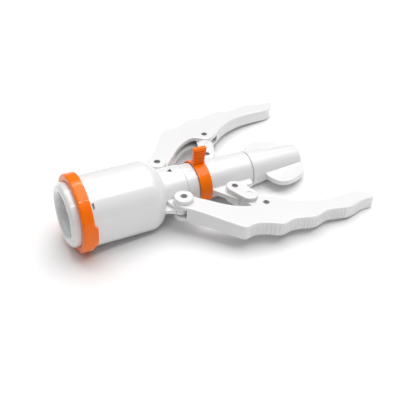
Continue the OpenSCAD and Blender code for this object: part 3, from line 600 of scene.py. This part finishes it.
def makeSleeve(s):
    profile = [(s["start"], s["bore"]), (s["start"], s["front"] - s["edge"]),
               (s["start"] + s["edge"], s["front"]), (s["end"] - s["edge"], s["rear"]),
               (s["end"], s["rear"] - s["edge"]), (s["end"], s["bore"])]
    sleeve = turned("sliderSleeve", profile, s["steps"])
    plan = list(s["finFront"])
    for turn in (math.radians(a) for a in range(100, -11, -10)):
        plan.append((s["pinX"] + s["reach"] * math.cos(turn), -s["pinY"] - s["reach"] * math.sin(turn)))
    fin = plate("sleeveFin", plan + s["finRear"], -s["fin"], s["fin"])
    cutAway(fin, rod("sleeveCore", *s["core"], s["steps"]))
    soften(fin, s["finEdge"])
    twin = farCopy(fin, "farFin")
    combine(sleeve, fin)
    combine(sleeve, twin)
    key = post("keyHole", s["keyX"], 0, -s["keyEnd"], s["keyEnd"], s["keyHole"], smallSides)
    holes = [post("pinHole", s["pinX"], side * s["pinY"], -s["pinReach"], s["pinReach"], s["pinHole"])
             for side in (-1, 1)]
    cutAway(sleeve, key, *holes)
    dress(sleeve, "slider_body", "slider_sleeve", "white_plastic")


makeSleeve(sleeveSizes)
say("sleeve")

# links between sleeve and handles
linkSizes = {"pinX": 103.65, "pinY": 19.0, "farX": 113.0, "farY": 41.0, "plateLen": 11.4,
             "end": 5.3, "half": 5.0, "edge": 0.8, "tongueStart": 9.4, "tongueHalf": 2.0,
             "tongue": 5.14, "tongueEdge": 0.35, "tongueHole": 3.05, "pinHole": 1.98, "through": 9,
             "gap": 1.9, "web": 10.4, "dimple": 2.0, "dimpleFloor": 4.7, "dimpleTop": 7,
             "arcStep": 9}


def stadium(radius, start, stop, step):
    return [(middle + radius * math.cos(math.radians(a)), radius * math.sin(math.radians(a)))
            for middle, first in ((start, 90), (stop, -90)) for a in range(first, first + 181, step)]


def makeLinks(s):
    reach = math.hypot(s["farX"] - s["pinX"], s["farY"] - s["pinY"])
    turn = math.degrees(math.atan2(s["farY"] - s["pinY"], s["farX"] - s["pinX"]))
    link = plate("leftLink", stadium(s["end"], 0, s["plateLen"], s["arcStep"]), -s["half"], s["half"])
    soften(link, s["edge"], 4)
    tongue = plate("linkTongue", stadium(s["tongue"], s["tongueStart"], reach, s["arcStep"]),
                   -s["tongueHalf"], s["tongueHalf"])
    soften(tongue, s["tongueEdge"])
    combine(link, tongue)
    throat = post("linkThroat", 0, 0, -s["gap"], s["gap"], s["web"], wideSides)
    dimple = post("linkDimple", s["plateLen"], 0, s["dimpleFloor"], s["dimpleTop"], s["dimple"], smallSides)
    pin = post("linkPinHole", 0, 0, -s["through"], s["through"], s["pinHole"])
    hole = post("tongueHole", reach, 0, -s["through"], s["through"], s["tongueHole"])
    cutAway(link, throat, dimple, pin, hole)
    link.data.transform(turnedAbout(s["pinX"], -s["pinY"], -turn))
    twin = farCopy(link, "rightLink")
    dress(link, "left_link_body", "link_left", "white_plastic")
    dress(twin, "right_link_body", "link_right", "white_plastic")


makeLinks(linkSizes)
say("links")

# winged knob
knobSizes = {"start": 122.1, "end": 160.6, "front": 11.95, "frontEdge": 0.3, "rear": 9.0,
             "edge": 2.6, "flank": (130, 138, 146, 153), "socket": 7.636, "lip": 123.565,
             "groove": 8.72, "socketEnd": 127.6, "shaft": 3.85, "shaftEnd": 158.0, "wing": 1.8,
             "wingEdge": 1.3, "core": (110, 170, 5.2), "wide": (110, 127.9, 9.02), "nutX": 137.613,
             "nut": 6.562, "nutHalf": 5.76, "nutTurn": 30, "edgeSteps": 8, "steps": 128}
wingLeaf = [(130.2, -7.3), (131.1, -14.5), (132.9, -19.5), (136, -22.9), (141, -24.1), (147.1, -23),
            (153.3, -20.2), (157.5, -15.9), (160, -10.8), (160.2, -6)]
wingRoot = [(157, -4.5), (132, -4.5)]


def makeKnob(s):
    taper = (s["front"] - s["rear"]) / (s["end"] - s["edge"] - s["start"])
    profile = [(s["start"], s["socket"]), (s["start"], s["front"] - s["frontEdge"]),
               (s["start"] + s["frontEdge"], s["front"])]
    profile += [(x, s["front"] - taper * (x - s["start"])) for x in s["flank"]]
    profile += arc(s["end"] - s["edge"], s["rear"] - s["edge"], s["edge"], 0, 90, s["edgeSteps"])
    profile += [(s["end"], 0), (s["shaftEnd"], 0), (s["shaftEnd"], s["shaft"]),
                (s["socketEnd"], s["shaft"]), (s["socketEnd"], s["groove"]), (s["lip"], s["groove"]),
                (s["lip"], s["socket"])]
    knob = turned("knobShell", profile, s["steps"])
    wing = plate("knobWing", smoothLine(wingLeaf, 4) + wingRoot, -s["wing"], s["wing"])
    soften(wing, s["wingEdge"], 5)
    for name in ("core", "wide"):
        cutAway(wing, rod(name, *s[name], holeSides))
    twin = farCopy(wing, "farWing")
    combine(knob, wing)
    combine(knob, twin)
    nut = post("nutPocket", 0, 0, -s["nutHalf"], s["nutHalf"], s["nut"], 6)
    nut.data.transform(turnedAbout(s["nutX"], 0, 90, "Y") @ turnedAbout(0, 0, s["nutTurn"]))
    cutAway(knob, nut)
    dress(knob, "knob_body", "knob", "white_plastic")


makeKnob(knobSizes)
say("knob")

# safety clip with its ribbed thumb tab; the tab's plan gives x and z
clipSizes = {"start": 83.45, "end": 91.2, "inner": 13.2, "outer": 14.1, "leg": -4.6, "legTop": 0.2,
             "bandEdge": 0.2, "halfLow": (70, -30, -30), "halfHigh": (100, 30, 0),
             "inside": (70, 100, 13.4), "tab": 1.3, "tabEdge": 0.4, "ribs": 6, "ribStart": 15.4,
             "ribStep": 1.723, "rib": 0.575, "ribHalf": 0.4, "ribFront": 84.05, "ribRear": 91.1,
             "ribEdge": 0.25, "steps": 128}
tabPlan = [(83.45, 12.6), (91.2, 12.6), (90.9, 15.2), (91.1, 17.2), (91.6, 19.2), (92.1, 21.5),
           (92.1, 25.3), (83.45, 25.3), (83.75, 19), (83.95, 16)]


def makeClip(s):
    band = turned("safetyClip", [(s["start"], s["inner"]), (s["start"], s["outer"]),
                                 (s["end"], s["outer"]), (s["end"], s["inner"])], s["steps"])
    cutAway(band, block("lowerHalf", s["halfLow"], s["halfHigh"]))
    for low, high in ((-s["outer"], -s["inner"]), (s["inner"], s["outer"])):
        combine(band, block("clipLeg", (s["start"], low, s["leg"]), (s["end"], high, s["legTop"])))
    soften(band, s["bandEdge"], 2, squareEdge)
    tab = plate("thumbTab", tabPlan, -s["tab"], s["tab"])
    tab.data.transform(Matrix.Rotation(math.radians(90), 4, "X"))
    soften(tab, s["tabEdge"])
    for k in range(s["ribs"]):
        middle = s["ribStart"] + k * s["ribStep"]
        rib = block("tabRib", (s["ribFront"], -s["tab"] - s["rib"], middle - s["ribHalf"]),
                    (s["ribRear"], s["tab"] + s["rib"], middle + s["ribHalf"]))
        soften(rib, s["ribEdge"])
        combine(tab, rib)
    cutAway(tab, rod("clipInside", *s["inside"], s["steps"]))
    combine(band, tab)
    dress(band, "clip_body", "safety_clip", "orange_plastic")


makeClip(clipSizes)
say("safety clip")

# pins with dished ends: x, y, lower end, upper end, radius
pinSizes = {"pivot": (68.6, 19.6, -6.45, 7.45, 2.0), "slider": (103.65, 19.0, -4.65, 4.65, 1.9),
            "handle": (113.0, 41.0, -4.1, 4.65, 1.9)}
pinEnds = {"edge": 0.25, "dish": 0.25, "dishShare": 0.55, "beyond": 1}


def makePin(name, sizes, side, body, node):
    x, y, low, high, radius = sizes
    s = pinEnds
    pin = post(name, x, side * y, low, high, radius, bevel=s["edge"])
    for start, stop in ((high - s["dish"], high + s["beyond"]), (low - s["beyond"], low + s["dish"])):
        cutAway(pin, post("pinDish", x, side * y, start, stop, radius * s["dishShare"], smallSides))
    dress(pin, body, node, "dark_steel")


for kind, body, node in (("pivot", "frame_body", "pivot_pins"), ("slider", "slider_body", "slider_pins")):
    for side, word in ((-1, "Left"), (1, "Right")):
        makePin(kind + "Pin" + word, pinSizes[kind], side, body, node)
for side, word in ((-1, "left"), (1, "right")):
    makePin("handlePin" + word.title(), pinSizes["handle"], side, word + "_handle_body",
            "handle_pin_" + word)
say("pins")

# return spring, which is squeezed between the bulkhead and the push tube
springSizes = {"start": 44.5, "radius": 10.333, "wire": 0.6, "wireSides": 10, "pitch": 2.865,
               "turns": 8, "steps": 36, "fixedEnd": 43.9, "movingEnd": 68.02}


def makeSpring(s):
    deselectAll()
    bpy.ops.mesh.primitive_circle_add(vertices=s["wireSides"], radius=s["wire"] * mm,
                                      rotation=(math.radians(90), 0, 0),
                                      location=Vector((s["start"], 0, s["radius"])) * mm)
    spring = bpy.context.object
    spring.name = "returnSpring"
    bpy.ops.object.transform_apply(location=True, rotation=True, scale=True)
    useModifier(spring, "SCREW", axis="X", angle=-2 * math.pi, screw_offset=s["pitch"] * mm,
                iterations=s["turns"], steps=s["steps"], render_steps=s["steps"])
    openMesh(spring)
    bpy.ops.mesh.fill_holes(sides=0)
    closeShell()
    dress(spring, None, "return_spring", slotOf["return_spring"], angle=40)
    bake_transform(spring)


makeSpring(springSizes)
say("return spring")

# floor and lights, in metres and watts, and the camera, in degrees and millimetres
studio = {"tilt": 7.2, "floorTouch": (11, 0, -24.05), "floorSize": 8,
          "paper": (0.93, 0.93, 0.93, 1), "paperRough": 0.6, "paperGleam": 0.2, "sky": 0.2,
          "middle": (0.08, 0, 0)}
softboxes = [("topBox", (0.3, 0.14, 1.3), (1.5, 1.3), 17.5),
             ("rearStrip", (0.1, 0.53, 0.85), (1.6, 0.02), 3),
             ("nearStrip", (0.1, -0.45, 0.9), (1.6, 0.02), 3)]
photoView = {"azimuth": -28.79, "elevation": 37.52, "roll": 3.36, "target": (83.81, -11.85, -5.23),
             "distance": 433.57, "lens": 63.05, "sensor": 36, "near": 0.01, "far": 20}


def makeStudio(s):
    deselectAll()
    bpy.ops.mesh.primitive_grid_add(x_subdivisions=4, y_subdivisions=4, size=s["floorSize"],
                                    location=(0, 0, 0))
    floor = bpy.context.object
    floor.name = "studioFloor"
    slope = Matrix.Rotation(-math.radians(s["tilt"]), 4, "Y")
    floor.data.transform(Matrix.Translation(Vector(s["floorTouch"]) * mm) @ slope)
    paper = Finish("floorPaper")
    paper.feed(Base_Color=s["paper"], Roughness=s["paperRough"], Specular_IOR_Level=s["paperGleam"])
    floor.data.materials.append(paper.material)

    world = bpy.data.worlds.new("studioWorld")
    bpy.context.scene.world = world
    world.use_nodes = True
    sky = world.node_tree.nodes["Background"]
    sky.inputs["Color"].default_value = (1, 1, 1, 1)
    sky.inputs["Strength"].default_value = s["sky"]
    bpy.context.scene.view_settings.view_transform = "Standard"


def makeSoftbox(name, place, size, power, target):
    light = bpy.data.lights.new(name, "AREA")
    light.shape = "RECTANGLE"
    light.size, light.size_y = size
    light.energy = power
    lamp = bpy.data.objects.new(name, light)
    bpy.context.scene.collection.objects.link(lamp)
    lamp.location = place
    lamp.rotation_euler = (Vector(target) - Vector(place)).to_track_quat("-Z", "Y").to_euler()


def makeCamera(s):
    azimuth, elevation, roll = (math.radians(s[key]) for key in ("azimuth", "elevation", "roll"))
    back = Vector((math.sin(azimuth) * math.cos(elevation), -math.cos(azimuth) * math.cos(elevation),
                   math.sin(elevation)))
    right = Vector((math.cos(azimuth), math.sin(azimuth), 0))
    up = back.cross(right)
    turnedRight = right * math.cos(roll) + up * math.sin(roll)
    turnedUp = up * math.cos(roll) - right * math.sin(roll)
    data = bpy.data.cameras.new("photoCamera")
    data.lens = s["lens"]
    data.sensor_width = s["sensor"]
    data.clip_start, data.clip_end = s["near"], s["far"]
    camera = bpy.data.objects.new("photoCamera", data)
    bpy.context.scene.collection.objects.link(camera)
    place = Matrix.Translation((Vector(s["target"]) + back * s["distance"]) * mm)
    camera.matrix_world = place @ Matrix((turnedRight, turnedUp, back)).transposed().to_4x4()
    bpy.context.scene.camera = camera


makeStudio(studio)
for name, place, size, power in softboxes:
    makeSoftbox(name, place, size, power, studio["middle"])
makeCamera(photoView)
say("studio")
